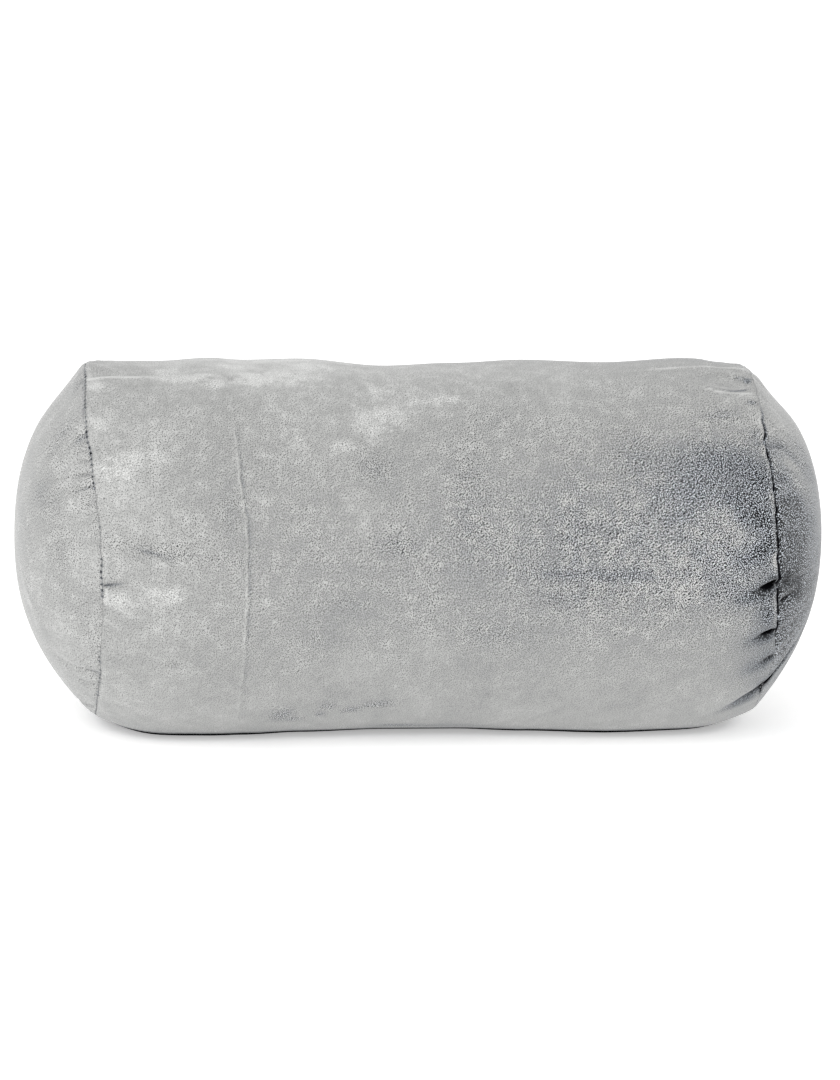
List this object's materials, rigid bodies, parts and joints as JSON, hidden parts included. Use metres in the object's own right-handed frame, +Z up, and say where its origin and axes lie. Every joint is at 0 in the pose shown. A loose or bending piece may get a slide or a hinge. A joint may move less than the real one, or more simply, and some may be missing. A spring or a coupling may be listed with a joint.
{
  "type": "neck pillow",
  "caption": "Plump round neck roll in short grey velvet, with domed end panels sewn in at puckered seams, lying on its flattened underside to hold up a neck or head.",
  "frame": {"origin": "middle of the flattened strip on the underside, at the bottom centre of the roll's box", "axes": "+X along the roll, +Z up, -Y towards the side that faces the picture's viewer"},
  "size_m": [0.4, 0.1919, 0.1812],
  "materials": {
    "barrel_velvet": "short-pile grey velvet, mottled light and dark where the pile is brushed",
    "end_velvet": "the same short-pile grey velvet"
  },
  "bodies": {
    "root": {"pillow_body": "barrel_velvet", "end_panel_left": "end_velvet", "end_panel_right": "end_velvet"}
  },
  "joints": []
}
